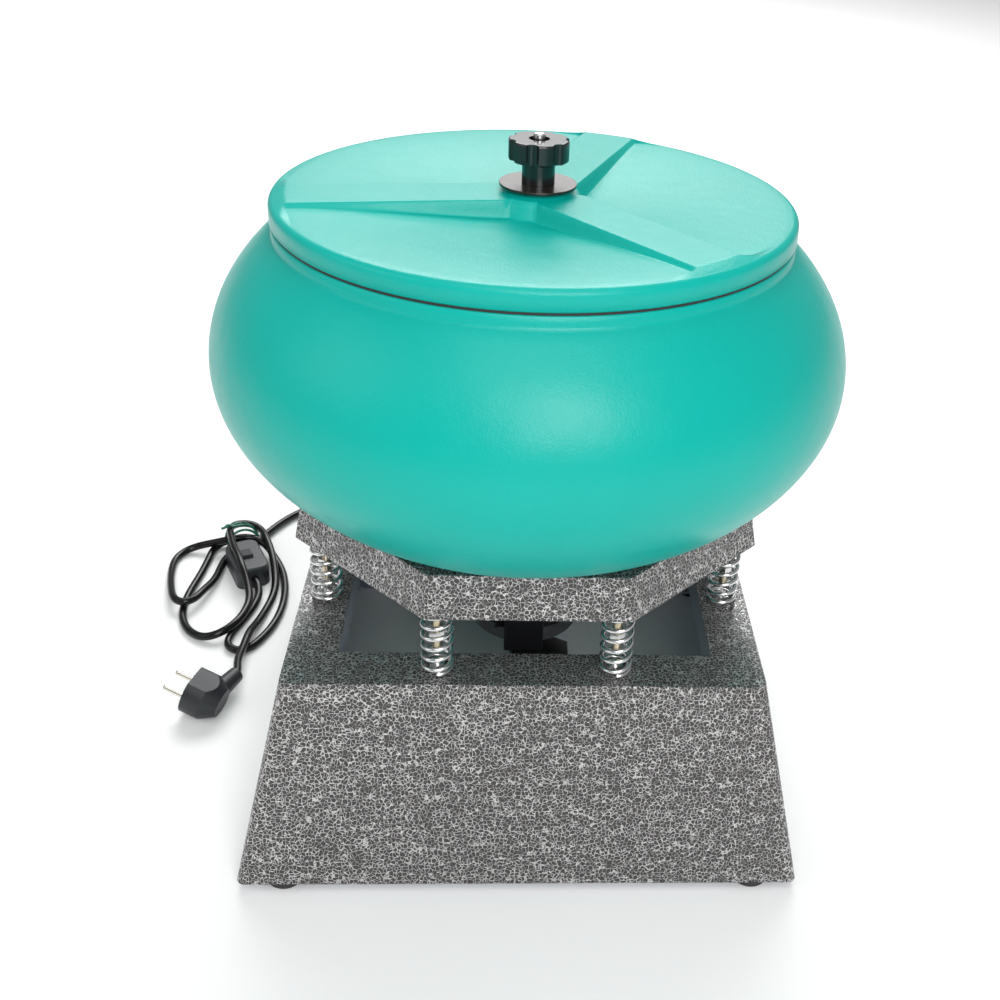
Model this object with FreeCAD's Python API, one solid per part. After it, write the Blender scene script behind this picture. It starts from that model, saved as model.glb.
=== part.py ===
"""Vibratory rock tumbler: a round bowl on a sprung octagonal platform over a square sheet-steel base.

Frame: origin at the centre of the base on the surface it stands on, +Z up, the front faces -Y. Millimetres.
A motor with an eccentric weight at each end of its shaft hangs from the platform and shakes it on eight springs.
"""
import FreeCAD, Part

import math
import os

Vector = FreeCAD.Vector
UP = Vector(0, 0, 1)

# Base housing: a square frustum of folded sheet with an opening in its top and a folded foot flange.
base_bottom_width = 390.0
base_top_width = 325.0
base_height = 148.0
base_sheet = 1.5
base_corner_radius = 6.0
base_opening_width = base_top_width - 69
base_lip_depth = 25.0
base_flange_width = 34.0

# Rubber feet under the base corners.
foot_height = 8.0
foot_top_radius = 15.0
foot_bottom_radius = 13.0
foot_side_inset = 31.0
foot_front_inset = 16.0
foot_recess_radius = 6.5
foot_recess_depth = 4.0

# Threads used through the machine: shank radius, nut width across flats, nut or head height.
m5_radius, m5_flats, m5_height = 2.5, 8.0, 3.5
m6_radius, m6_flats, m6_height = 3.0, 10.0, 5.0
m8_radius, m8_flats, m8_height = 4.0, 13.0, 6.5
hole_clearance = 0.3

# Eight compression springs, two along each side of the platform.
spring_far = base_top_width / 2 - 18.5
spring_near = (base_top_width / 2 - 5) * math.sqrt(2) - spring_far - 18.74
spring_length = 82.0
spring_outer_radius = 11.3
spring_wire = 3.2
spring_coils = 10.5
spring_end_pitch = 3.5
stud_tip_gap = 8.5
lower_bolt_rise = 7.0
lock_nut_above_tip = 12.0

# Platform: an octagonal pan, open below, that carries the bowl on top and the motor underneath.
platform_top_flats = base_top_width - 10
platform_bottom_flats = base_top_width + 1
platform_skirt_depth = 30.5
platform_sheet = 1.5

# Bowl: two ellipse quarters one above the other, a neck, and a hollow cone round the centre stud.
bowl_radius = 220.5
bowl_equator_height = 92.5
bowl_upper_semi = 141.0
bowl_lower_semi = 133.7
bowl_wall = 5.0
bowl_neck_radius = 175.0
bowl_neck_inner_radius = 168.5
bowl_neck_start = 174.5
bowl_height = 185.5
cone_foot_radius = 62.0
cone_top_radius = 25.0
cone_height = 98.0
cone_top_wall = 5.0
bowl_washer_radius = 16.0
bowl_washer_thickness = 1.6

# Lid: a dished disc with three raised arms that meet in a hub.
lid_radius = 175.6
lid_edge_height = 14.1
lid_edge_width = 11.0
lid_edge_fillet = 4.5
lid_skin = 4.0
lid_dish_depth = 9.0
lid_plug_depth = 9.0
lid_plug_wall = 3.0
lid_plug_clearance = 1.0
lid_bore_radius = 5.0
gasket_thickness = 1.8
gasket_inset = 1.0
seat_gap = 0.1
arm_count = 3
arm_first_angle = 70.0
arm_length = 169.0
arm_top_half_width = 18.5
arm_foot_half_width = 24.0
arm_rise = 3.0
hub_radius = 30.0
boss_radius = 22.0
boss_height = 3.7

# Clamp disc and star knob on the centre stud.
disc_radius = 26.0
disc_thickness = 2.0
disc_bore_radius = 4.4
knob_neck_radius = 11.0
knob_neck_height = 15.0
knob_head_radius = 20.3
knob_head_height = 14.0
knob_lobes = 7
knob_flute_radius = 4.6
knob_recess_radius = 7.0
knob_recess_depth = 4.5
insert_radius = 6.5
insert_length = 20.0
knob_bore_radius = 4.2
stud_above_knob = 3.4
stud_below_plate = 8.5

# Motor, hung under the platform on four spacers.
motor_bolt_offset = 34.0
spacer_radius = 6.0
spacer_length = 37.0
bell_flange_radius = 56.0
bell_flange_thickness = 8.0
bell_depth = 12.0
motor_outer_radius = 41.0
motor_shell = 2.5
motor_shell_length = 76.0
core_length = 52.0
core_bore_radius = 24.0
air_gap = 0.4
core_clearance = 0.1
winding_height = 9.0
winding_inner_radius = 27.0
winding_outer_radius = 36.5
shaft_radius = 6.0
shaft_above_bell = 25.0
shaft_below_bell = 42.0
bearing_outer_radius = 15.0
bearing_width = 9.0
running_clearance = 0.05
weight_thickness = 14.0
weight_hub_radius = 12.0
upper_weight_radius = 38.0
lower_weight_radius = 46.0
weight_half_angle = 34.0
weight_direction = -58.0
weight_end_gap = 3.0
set_screw_radius = 2.0

# Capacitor on a bracket in front of the motor, and the terminal box behind it.
capacitor_width = 29.0
capacitor_depth = 18.0
capacitor_height = 38.0
capacitor_left = -16.0
capacitor_drop = 78.5
capacitor_ear = 7.0
capacitor_ear_height = 6.5
bracket_sheet = 1.5
bracket_width = 24.0
terminal_box_width = 36.0
terminal_box_depth = 22.0
terminal_box_height = 40.0
terminal_box_wall = 2.0
terminal_box_drop = 27.0

# Mains cord, its gland, and the things on it.
cord_radius = 3.5
gland_x = -70.0
gland_z = 45.0
gland_thread_radius = 8.0
gland_hex_flats = 22.0
gland_hex_height = 4.0
gland_cap_radius = 9.5
gland_cap_length = 26.0
gland_cap_grip = 9.0
gland_relief_radius = 7.6
gland_relief_end_radius = 5.0
gland_nut_height = 4.0
gland_inner_length = 8.0
gland_bore_clearance = 0.15
hank_height = 14.0
hank_floor_gap = 0.2
knot_width = 34.0
knot_length = 20.0
knot_height = 23.0
tie_wire_radius = 0.9
tie_gap = 0.3
tie_corner = 1.5
switch_length = 54.0
switch_width = 31.0
switch_height = 21.0
switch_corner = 9.0
rocker_length = 15.0
rocker_width = 9.0
rocker_clearance = 0.4
rocker_pivot_depth = 4.5
rocker_below_pivot = 4.0
rocker_well_depth = 11.5
rocker_rise = 2.0
rocker_tip = 8.0
rocker_pin_radius = 1.5
rocker_pin_length = 14.0
rocker_pin_clearance = 0.2
plug_face_radius = 19.0
plug_body_depth = 28.0
plug_back_radius = 12.0
plug_flat_half = 16.0
plug_relief_depth = 18.0
pin_radius = 2.4
pin_length = 19.0
pin_spacing = 19.0
relief_length = 34.0
relief_radius = 6.5
earth_strip_width = 8.0
earth_strip_thickness = 1.2
earth_strip_length = 10.0

# Heights that follow from the sizes above.
base_bottom = foot_height
base_top = base_bottom + base_height
plate_under = base_top + spring_length
plate_top = plate_under + platform_sheet
skirt_bottom = plate_top - platform_skirt_depth
bowl_bottom = plate_top
bowl_equator = bowl_bottom + bowl_equator_height
bowl_rim = bowl_bottom + bowl_height
neck_foot = bowl_bottom + bowl_neck_start
cone_top = bowl_bottom + cone_height
gasket_bottom = bowl_rim + seat_gap
lid_bottom = gasket_bottom + gasket_thickness
lid_edge_top = lid_bottom + lid_edge_height
arm_top = lid_edge_top + arm_rise
boss_top = arm_top + boss_height
disc_bottom = boss_top + seat_gap
knob_bottom = disc_bottom + disc_thickness + seat_gap
knob_head_bottom = knob_bottom + knob_neck_height
knob_top = knob_head_bottom + knob_head_height
stud_top = knob_top + stud_above_knob
bell_top = plate_under - spacer_length
bell_under = bell_top - bell_flange_thickness
shell_top = bell_top - bell_depth
shell_bottom = shell_top - motor_shell_length
lower_bell_bottom = shell_bottom - bell_depth
shell_middle = (shell_top + shell_bottom) / 2
shaft_top = bell_top + shaft_above_bell
shaft_bottom = lower_bell_bottom - shaft_below_bell
knot_low = hank_floor_gap + 2 * tie_wire_radius + tie_gap
base_slope = math.atan2((base_bottom_width - base_top_width) / 2, base_height)


def cylinder(radius, low, high, x=0.0, y=0.0):
    """Upright cylinder from height low to height high."""
    return Part.makeCylinder(radius, high - low, Vector(x, y, low), UP)


def ring(outer, inner, low, high, x=0.0, y=0.0):
    """Upright tube."""
    return cylinder(outer, low, high, x, y).cut(cylinder(inner, low - 1, high + 1, x, y))


def block(x0, y0, z0, x1, y1, z1):
    """Box between two corners."""
    return Part.makeBox(x1 - x0, y1 - y0, z1 - z0, Vector(x0, y0, z0))


def prism(points, low, high):
    """Upright prism on a closed outline of (x, y) points."""
    corners = [Vector(x, y, low) for x, y in points]
    face = Part.Face(Part.makePolygon(corners + corners[:1]))
    return face.extrude(Vector(0, 0, high - low))


def regular_outline(sides, across_flats, turn=0.0):
    """Corners of a regular polygon, as (x, y)."""
    corner = across_flats / 2 / math.cos(math.pi / sides)
    angles = [math.radians(turn) + 2 * math.pi * (i + 0.5) / sides for i in range(sides)]
    return [(corner * math.cos(a), corner * math.sin(a)) for a in angles]


def hexagon(across_flats, low, high, x=0.0, y=0.0):
    """Upright hexagonal prism, as a bolt head or a nut."""
    outline = [(x + px, y + py) for px, py in regular_outline(6, across_flats)]
    return prism(outline, low, high)


def nut(thread_radius, across_flats, low, height, x=0.0, y=0.0):
    """Hexagonal nut whose bore clears the thread it sits on."""
    body = hexagon(across_flats, low, low + height, x, y)
    return body.cut(cylinder(thread_radius + running_clearance, low - 1, low + height + 1, x, y))


def bolt(thread_radius, across_flats, head_height, seat, tip, x=0.0, y=0.0):
    """Hexagon-headed bolt: the head sits on height seat, away from the tip."""
    if tip > seat:
        head = hexagon(across_flats, seat - head_height, seat, x, y)
        return head.fuse(cylinder(thread_radius, seat - head_height / 2, tip, x, y))
    head = hexagon(across_flats, seat, seat + head_height, x, y)
    return head.fuse(cylinder(thread_radius, tip, seat + head_height / 2, x, y))


def revolve(points):
    """Solid of revolution about Z of a closed outline of (radius, height) points."""
    corners = [Vector(r, 0, z) for r, z in points]
    face = Part.Face(Part.makePolygon(corners + corners[:1]))
    return face.revolve(Vector(0, 0, 0), UP, 360)


def rounded_square(width, radius, height):
    """Closed wire of a square with rounded corners, centred on Z."""
    half = width / 2
    straight = half - radius
    edges = []
    for quarter in range(4):
        turn = math.radians(90 * quarter)
        cos_t, sin_t = math.cos(turn), math.sin(turn)

        def at(x, y):
            return Vector(x * cos_t - y * sin_t, x * sin_t + y * cos_t, height)

        middle = straight + radius * math.cos(math.pi / 4)
        edges.append(Part.makeLine(at(half, -straight), at(half, straight)))
        corner = Part.Arc(at(half, straight), at(middle, middle), at(straight, half))
        edges.append(corner.toShape())
    return Part.Wire(edges)


def frustum(bottom_width, top_width, low, high, radius):
    """Solid square frustum with rounded upright edges."""
    wires = [rounded_square(bottom_width, radius, low), rounded_square(top_width, radius, high)]
    return Part.makeLoft(wires, True, True)


def corners_of(offset):
    """The four points at plus and minus offset in x and y."""
    return [(sx * offset, sy * offset) for sx in (-1, 1) for sy in (-1, 1)]


def foot_places():
    """Centres of the four feet, nearer to the front and back edges than to the sides."""
    half = base_bottom_width / 2
    return [(sx * (half - foot_side_inset), sy * (half - foot_front_inset)) for sx in (-1, 1) for sy in (-1, 1)]


def spring_places():
    """Centres of the eight springs."""
    places = []
    for sx in (-1, 1):
        for sy in (-1, 1):
            places.append((sx * spring_near, sy * spring_far))
            places.append((sx * spring_far, sy * spring_near))
    return places


def group(solids):
    """Separate solids kept together in one node."""
    return Part.makeCompound(solids)


def save(name, shape):
    """Writes one sub-part and prints its volume."""
    shape.exportStep("parts/" + name + ".step")
    print(name, "valid" if shape.isValid() else "NOT VALID", round(shape.Volume), "mm3")


def tube_path(points):
    """Wire of straight runs joined by tangent arcs, each arc as large as its two runs allow."""
    spots = [Vector(*p) for p in points]
    edges = []
    radii = []
    start = spots[0]
    for before, here, after in zip(spots, spots[1:], spots[2:]):
        back = (before - here).normalize()
        ahead = (after - here).normalize()
        turn = math.pi - back.getAngle(ahead)
        shorter = min((before - here).Length, (after - here).Length)
        setback = 0.45 * shorter
        radius = setback / math.tan(turn / 2)
        bisector = (back + ahead).normalize()
        centre = here + bisector * (radius / math.cos(turn / 2))
        arc_in = here + back * setback
        arc_out = here + ahead * setback
        arc_middle = centre - bisector * radius
        edges.append(Part.LineSegment(start, arc_in).toShape())
        edges.append(Part.Arc(arc_in, arc_middle, arc_out).toShape())
        radii.append(round(radius))
        start = arc_out
    edges.append(Part.LineSegment(start, spots[-1]).toShape())
    return Part.Wire(edges), radii


def tube(name, points, radius):
    """Round solid along a path, with its length, its volume and its arc radii printed."""
    path, radii = tube_path(points)
    direction = Vector(*points[1]) - Vector(*points[0])
    ring_wire = Part.Wire(Part.makeCircle(radius, Vector(*points[0]), direction))
    solid = path.makePipeShell([ring_wire], True, False)
    expected = math.pi * radius ** 2 * path.Length
    print(name, "length", round(path.Length), "volume ratio", round(solid.Volume / expected, 3), "radii", radii)
    return solid


def along(direction, place, shape):
    """Turns a shape built along +Z at the origin to point along a direction, and moves it to a place."""
    turned = shape.copy()
    turned.Placement = FreeCAD.Placement(Vector(*place), FreeCAD.Rotation(UP, Vector(*direction)))
    return turned


def turned_about_z(shape, degrees, x=0.0, y=0.0):
    """Copy of a shape turned about Z and then moved in the plane."""
    moved = shape.copy()
    moved.rotate(Vector(0, 0, 0), UP, degrees)
    moved.translate(Vector(x, y, 0))
    return moved


# ---- base -------------------------------------------------------------------------------------

def gland_frame():
    """Place on the back wall's outer face and the wall's outward direction, for the cord gland."""
    shrink = (gland_z - base_bottom) * math.tan(base_slope)
    place = (gland_x, base_bottom_width / 2 - shrink, gland_z)
    direction = (0, math.cos(base_slope), math.sin(base_slope))
    return place, direction


def make_base_housing():
    """Folded shell: slanted walls, a top with an opening and its lip, and a flange along the bottom."""
    side = base_sheet / math.cos(base_slope)
    outer = frustum(base_bottom_width, base_top_width, base_bottom, base_top, base_corner_radius)
    lower_inner = base_bottom_width - 2 * side
    upper_inner = base_top_width - 2 * side
    grow = 2 * math.tan(base_slope)
    inner_low = base_bottom + base_sheet
    inner_high = base_top - base_sheet
    inner = frustum(
        lower_inner - grow * base_sheet,
        upper_inner + grow * base_sheet,
        inner_low,
        inner_high,
        base_corner_radius - base_sheet,
    )
    shell = outer.cut(inner)
    hole_half = base_opening_width / 2
    shell = shell.cut(block(-hole_half, -hole_half, inner_high - 1, hole_half, hole_half, base_top + 1))
    floor_half = base_bottom_width / 2 - base_flange_width
    shell = shell.cut(block(-floor_half, -floor_half, base_bottom - 1, floor_half, floor_half, inner_low + 1))
    lip_half = hole_half + base_sheet
    lip_bottom = base_top - base_lip_depth
    lip = block(-lip_half, -lip_half, lip_bottom, lip_half, lip_half, base_top)
    lip = lip.cut(block(-hole_half, -hole_half, lip_bottom - 1, hole_half, hole_half, base_top + 1))
    shell = shell.fuse(lip).removeSplitter()
    for x, y in spring_places():
        shell = shell.cut(cylinder(m6_radius + hole_clearance, inner_high - 2, base_top + 2, x, y))
    for x, y in foot_places():
        shell = shell.cut(cylinder(m5_radius + hole_clearance, base_bottom - 2, inner_low + 2, x, y))
    place, direction = gland_frame()
    drill = Part.makeCylinder(gland_thread_radius + hole_clearance, 20, Vector(0, 0, -10), UP)
    return shell.cut(along(direction, place, drill))


def make_feet():
    """Tapered rubber feet, each with a recess in its sole for the screw head."""
    feet = []
    for x, y in foot_places():
        foot = Part.makeCone(foot_bottom_radius, foot_top_radius, foot_height, Vector(x, y, 0), UP)
        foot = foot.cut(cylinder(foot_recess_radius, -1, foot_recess_depth, x, y))
        feet.append(foot.cut(cylinder(m5_radius + hole_clearance, -1, foot_height + 1, x, y)))
    return group(feet)


def make_foot_screws():
    """Screws up through the feet and the base flange."""
    top = base_bottom + base_sheet + m5_height + 2
    head_radius = foot_recess_radius - 1
    screws = []
    for x, y in foot_places():
        head = cylinder(head_radius, foot_recess_depth - 3, foot_recess_depth, x, y)
        screws.append(head.fuse(cylinder(m5_radius, foot_recess_depth - 1, top, x, y)))
    return group(screws)


def make_foot_nuts():
    """Nuts on the foot screws, above the flange."""
    seat = base_bottom + base_sheet
    return group([nut(m5_radius, m5_flats, seat, m5_height, x, y) for x, y in foot_places()])


# ---- springs ------------------------------------------------------------------------------------

def spring_height(turns):
    """Height of the wire's centre after a number of turns, with a closed coil at each end."""
    travel = spring_length - spring_wire
    open_turns = spring_coils - 2
    open_pitch = (travel - 2 * spring_end_pitch) / open_turns
    if turns < 1:
        return spring_end_pitch * turns
    if turns > spring_coils - 1:
        return travel - spring_end_pitch * (spring_coils - turns)
    return spring_end_pitch + open_pitch * (turns - 1)


def make_spring_coil():
    """One wound spring, standing at the origin."""
    mean = spring_outer_radius - spring_wire / 2
    steps_per_turn = 8
    spots = []
    for i in range(int(spring_coils * steps_per_turn) + 1):
        turns = i / steps_per_turn
        angle = 2 * math.pi * turns - math.pi / 2
        height = base_top + spring_wire / 2 + spring_height(turns)
        spots.append(Vector(mean * math.cos(angle), mean * math.sin(angle), height))
    curve = Part.BSplineCurve()
    curve.interpolate(spots)
    path = Part.Wire(curve.toShape())
    section = Part.Wire(Part.makeCircle(spring_wire / 2, spots[0], curve.tangent(curve.FirstParameter)[0]))
    coil = path.makePipeShell([section], True, True)
    expected = math.pi * (spring_wire / 2) ** 2 * path.Length
    print("spring volume ratio", round(coil.Volume / expected, 3))
    return coil


def make_springs(coil, turn):
    """The two springs along one side of the platform: the front pair, turned about Z."""
    pair = []
    for x in (-spring_near, spring_near):
        moved = coil.copy()
        moved.translate(Vector(x, -spring_far, 0))
        pair.append(turned_about_z(moved, turn))
    return group(pair)


def make_lower_spring_bolts():
    """Bolts up through the base top, one inside the foot of each spring."""
    tip = base_top + lower_bolt_rise
    seat = base_top - base_sheet
    return group([bolt(m6_radius, m6_flats, m6_height, seat, tip, x, y) for x, y in spring_places()])


def make_lower_spring_nuts():
    """Nuts that hold those bolts and centre the springs."""
    return group([nut(m6_radius, m6_flats, base_top, m6_height, x, y) for x, y in spring_places()])


def upper_stud_tip():
    """Height of the lower end of the studs that hang inside the springs."""
    return base_top + lower_bolt_rise + stud_tip_gap


def make_upper_spring_studs():
    """Weld studs under the platform plate, one down the middle of each spring."""
    studs = []
    for x, y in spring_places():
        flange = cylinder(m6_radius * 2, plate_under - 1.5, plate_under, x, y)
        studs.append(flange.fuse(cylinder(m6_radius, upper_stud_tip(), plate_under - 1, x, y)))
    return group(studs)


def make_upper_spring_nuts():
    """Lock nuts part way up the studs, which keep the springs centred."""
    low = upper_stud_tip() + lock_nut_above_tip
    return group([nut(m6_radius, m6_flats, low, m6_height, x, y) for x, y in spring_places()])


# ---- platform and bowl ----------------------------------------------------------------------------

def octagon_wire(across_flats, height):
    """Closed wire of an octagon with flats facing the four sides."""
    corners = [Vector(x, y, height) for x, y in regular_outline(8, across_flats)]
    return Part.makePolygon(corners + corners[:1])


def make_platform():
    """Octagonal pan: a flat top plate and a skirt that flares outwards as it goes down."""
    outer_wires = [octagon_wire(platform_bottom_flats, skirt_bottom), octagon_wire(platform_top_flats, plate_top)]
    outer = Part.makeLoft(outer_wires, True, True)
    flare = (platform_bottom_flats - platform_top_flats) / platform_skirt_depth
    low_flats = platform_bottom_flats + flare - 2 * platform_sheet
    high_flats = platform_top_flats + flare * platform_sheet - 2 * platform_sheet
    inner_wires = [octagon_wire(low_flats, skirt_bottom - 1), octagon_wire(high_flats, plate_under)]
    pan = outer.cut(Part.makeLoft(inner_wires, True, True))
    pan = pan.cut(cylinder(m8_radius + hole_clearance, plate_under - 1, plate_top + 1))
    for x, y in corners_of(motor_bolt_offset):
        pan = pan.cut(cylinder(m6_radius + hole_clearance, plate_under - 1, plate_top + 1, x, y))
    return pan


def ellipse_radius(semi_radius, semi_height, height):
    """Radius of an ellipse at a height above or below its centre."""
    return semi_radius * math.sqrt(1 - (height / semi_height) ** 2)


def ellipse_edge(semi_radius, semi_height, z_from, z_to):
    """Arc of the bowl's elliptical outline between two heights, on the right of the axis, as an edge."""
    centre = Vector(0, 0, bowl_equator)
    side = Vector(semi_radius, 0, bowl_equator)
    apex = Vector(0, 0, bowl_equator + semi_height)
    angles = sorted(math.asin((z - bowl_equator) / semi_height) for z in (z_from, z_to))
    return Part.ArcOfEllipse(Part.Ellipse(side, apex, centre), *angles).toShape()


def line(p, q):
    """Straight edge between two (radius, height) points."""
    return Part.makeLine(Vector(p[0], 0, p[1]), Vector(q[0], 0, q[1]))


def make_bowl():
    """Moulded bowl: elliptical wall, neck and rim, and a hollow cone up the middle."""
    inside = bowl_radius - bowl_wall
    inner_upper = bowl_upper_semi - bowl_wall
    inner_lower = bowl_lower_semi - bowl_wall
    floor = bowl_bottom + bowl_wall
    foot = ellipse_radius(bowl_radius, bowl_lower_semi, bowl_bottom - bowl_equator)
    shoulder = ellipse_radius(bowl_radius, bowl_upper_semi, neck_foot - bowl_equator)
    inner_foot = ellipse_radius(inside, inner_lower, floor - bowl_equator)
    throat = bowl_equator + inner_upper * math.sqrt(1 - (bowl_neck_inner_radius / inside) ** 2)
    hollow_foot = cone_foot_radius - bowl_wall
    hollow_top = cone_top_radius - bowl_wall
    bore = m8_radius + hole_clearance
    edges = [
        line((hollow_foot, bowl_bottom), (foot, bowl_bottom)),
        ellipse_edge(bowl_radius, bowl_lower_semi, bowl_bottom, bowl_equator),
        ellipse_edge(bowl_radius, bowl_upper_semi, bowl_equator, neck_foot),
        line((shoulder, neck_foot), (bowl_neck_radius, neck_foot)),
        line((bowl_neck_radius, neck_foot), (bowl_neck_radius, bowl_rim)),
        line((bowl_neck_radius, bowl_rim), (bowl_neck_inner_radius, bowl_rim)),
        line((bowl_neck_inner_radius, bowl_rim), (bowl_neck_inner_radius, throat)),
        ellipse_edge(inside, inner_upper, throat, bowl_equator),
        ellipse_edge(inside, inner_lower, bowl_equator, floor),
        line((inner_foot, floor), (cone_foot_radius, floor)),
        line((cone_foot_radius, floor), (cone_top_radius, cone_top)),
        line((cone_top_radius, cone_top), (bore, cone_top)),
        line((bore, cone_top), (bore, cone_top - cone_top_wall)),
        line((bore, cone_top - cone_top_wall), (hollow_top, cone_top - cone_top_wall)),
        line((hollow_top, cone_top - cone_top_wall), (hollow_foot, bowl_bottom)),
    ]
    face = Part.Face(Part.Wire(edges))
    return face.revolve(Vector(0, 0, 0), UP, 360)


def make_centre_stud():
    """Threaded rod from under the platform plate to above the knob."""
    chamfer = 1.0
    rod = cylinder(m8_radius, plate_under - stud_below_plate, stud_top - chamfer)
    tip = Part.makeCone(m8_radius, m8_radius - chamfer, chamfer, Vector(0, 0, stud_top - chamfer), UP)
    return rod.fuse(tip)


def make_stud_nuts():
    """Nuts that clamp the rod to the plate from below and above."""
    lower = nut(m8_radius, m8_flats, plate_under - m8_height, m8_height)
    upper = nut(m8_radius, m8_flats, plate_top, m8_height)
    return group([lower, upper])


def make_bowl_washer():
    """Wide washer on top of the bowl's cone."""
    return ring(bowl_washer_radius, m8_radius + hole_clearance, cone_top, cone_top + bowl_washer_thickness)


def make_bowl_nut():
    """Nut that clamps the bowl down on the platform."""
    return nut(m8_radius, m8_flats, cone_top + bowl_washer_thickness, m8_height)


# ---- lid and knob ---------------------------------------------------------------------------------

def arm_solid(top, half_top, half_foot, length, foot):
    """Bar with slanting sides and a slanting end, from the axis out along +X."""
    low = [Vector(0, -half_foot, foot), Vector(length + 4, -half_foot, foot)]
    low += [Vector(length + 4, half_foot, foot), Vector(0, half_foot, foot)]
    high = [Vector(0, -half_top, top), Vector(length, -half_top, top)]
    high += [Vector(length, half_top, top), Vector(0, half_top, top)]
    wires = [Part.makePolygon(low + low[:1]), Part.makePolygon(high + high[:1])]
    return Part.makeLoft(wires, True, True)


def make_lid():
    """Dished disc with a thick edge, a ring that drops inside the neck, three hollow arms and a hub."""
    edge_inner = lid_radius - lid_edge_width
    dish_low = lid_edge_top - lid_dish_depth
    fillet = lid_edge_fillet
    plug_outer = bowl_neck_inner_radius - lid_plug_clearance
    plug_inner = plug_outer - lid_plug_wall
    plug_low = lid_bottom - lid_plug_depth
    corner = fillet * (1 - math.cos(math.pi / 4))
    disc = revolve(
        [
            (0, dish_low),
            (hub_radius, dish_low),
            (edge_inner, lid_edge_top - 1),
            (lid_radius - fillet, lid_edge_top),
            (lid_radius - corner, lid_edge_top - corner),
            (lid_radius, lid_edge_top - fillet),
            (lid_radius, lid_bottom),
            (plug_outer, lid_bottom),
            (plug_outer, plug_low),
            (plug_inner, plug_low),
            (plug_inner, lid_bottom),
            (edge_inner - 2, lid_edge_top - lid_skin - 1),
            (hub_radius, dish_low - lid_skin),
            (0, dish_low - lid_skin),
        ]
    )
    arm_foot = dish_low - 2
    cavity = [cylinder(hub_radius - lid_skin, dish_low - lid_skin - 1, arm_top - lid_skin)]
    raised = [cylinder(hub_radius, arm_foot, arm_top), cylinder(boss_radius, arm_foot, boss_top)]
    for i in range(arm_count):
        angle = arm_first_angle + 360 * i / arm_count
        solid = arm_solid(arm_top, arm_top_half_width, arm_foot_half_width, arm_length, arm_foot)
        raised.append(turned_about_z(solid, angle))
        hollow = arm_solid(
            arm_top - lid_skin,
            arm_top_half_width - lid_skin,
            arm_foot_half_width - lid_skin,
            edge_inner - 8,
            dish_low - lid_skin - 1,
        )
        cavity.append(turned_about_z(hollow, angle))
    lid = disc
    for solid in raised:
        lid = lid.fuse(solid)
    for solid in cavity:
        lid = lid.cut(solid)
    return lid.cut(cylinder(lid_bore_radius, dish_low - 20, boss_top + 1))


def make_lid_gasket():
    """Flat rubber ring bonded under the lid's edge, which seals on the bowl's rim."""
    inner = bowl_neck_inner_radius + gasket_inset
    return ring(bowl_neck_radius - gasket_inset, inner, gasket_bottom, lid_bottom)


def make_clamp_disc():
    """Steel disc under the knob, which stays on the knob's foot."""
    return ring(disc_radius, disc_bore_radius, disc_bottom, disc_bottom + disc_thickness)


def make_knob():
    """Star knob: a neck, and a head with round flutes between its lobes and a recess in its top."""
    head = cylinder(knob_head_radius, knob_head_bottom, knob_top)
    outer = [edge for edge in head.Edges if edge.Closed]
    head = head.makeFillet(1.5, outer)
    flute_centre = knob_head_radius + knob_flute_radius * 0.35
    for i in range(knob_lobes):
        angle = 2 * math.pi * i / knob_lobes
        x = flute_centre * math.cos(angle)
        y = flute_centre * math.sin(angle)
        head = head.cut(cylinder(knob_flute_radius, knob_head_bottom - 1, knob_top + 1, x, y))
    knob = head.fuse(cylinder(knob_neck_radius, knob_bottom, knob_head_bottom + 1))
    knob = knob.cut(cylinder(knob_recess_radius, knob_top - knob_recess_depth, knob_top + 1))
    return knob.cut(cylinder(insert_radius, knob_bottom - 1, knob_top))


def make_knob_insert():
    """Threaded steel insert moulded into the knob, with a bore that clears the stud."""
    return ring(insert_radius, knob_bore_radius, knob_bottom, knob_bottom + insert_length)


# ---- motor ----------------------------------------------------------------------------------------

def make_motor_spacers():
    """Tubes that hold the motor away from the platform plate."""
    inner = m6_radius + running_clearance
    spots = corners_of(motor_bolt_offset)
    return group([ring(spacer_radius, inner, bell_top, plate_under, x, y) for x, y in spots])


def make_motor_bolts():
    """Bolts down through the plate, the spacers and the motor's flange."""
    tip = bell_under - m6_height - 2
    spots = corners_of(motor_bolt_offset)
    return group([bolt(m6_radius, m6_flats, m6_height, plate_top, tip, x, y) for x, y in spots])


def make_motor_nuts():
    """Nuts under the motor's flange."""
    spots = corners_of(motor_bolt_offset)
    low = bell_under - m6_height
    return group([nut(m6_radius, m6_flats, low, m6_height, x, y) for x, y in spots])


def make_upper_end_bell():
    """Cast end cover with the mounting flange and the upper bearing's seat."""
    flange = cylinder(bell_flange_radius, bell_under, bell_top)
    drum = cylinder(motor_outer_radius, shell_top, bell_under)
    bell = flange.fuse(drum)
    bell = bell.cut(cylinder(bearing_outer_radius, bell_top - bearing_width, bell_top + 1))
    bell = bell.cut(cylinder(shaft_radius + 1, shell_top - 1, bell_top + 1))
    for x, y in corners_of(motor_bolt_offset):
        bell = bell.cut(cylinder(m6_radius + hole_clearance, shell_top - 1, bell_top + 1, x, y))
        bell = bell.cut(cylinder(m6_flats * 0.62, shell_top - 1, bell_under, x, y))
    return bell


def make_motor_housing():
    """Steel tube round the stator."""
    return ring(motor_outer_radius, motor_outer_radius - motor_shell, shell_bottom, shell_top)


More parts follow.
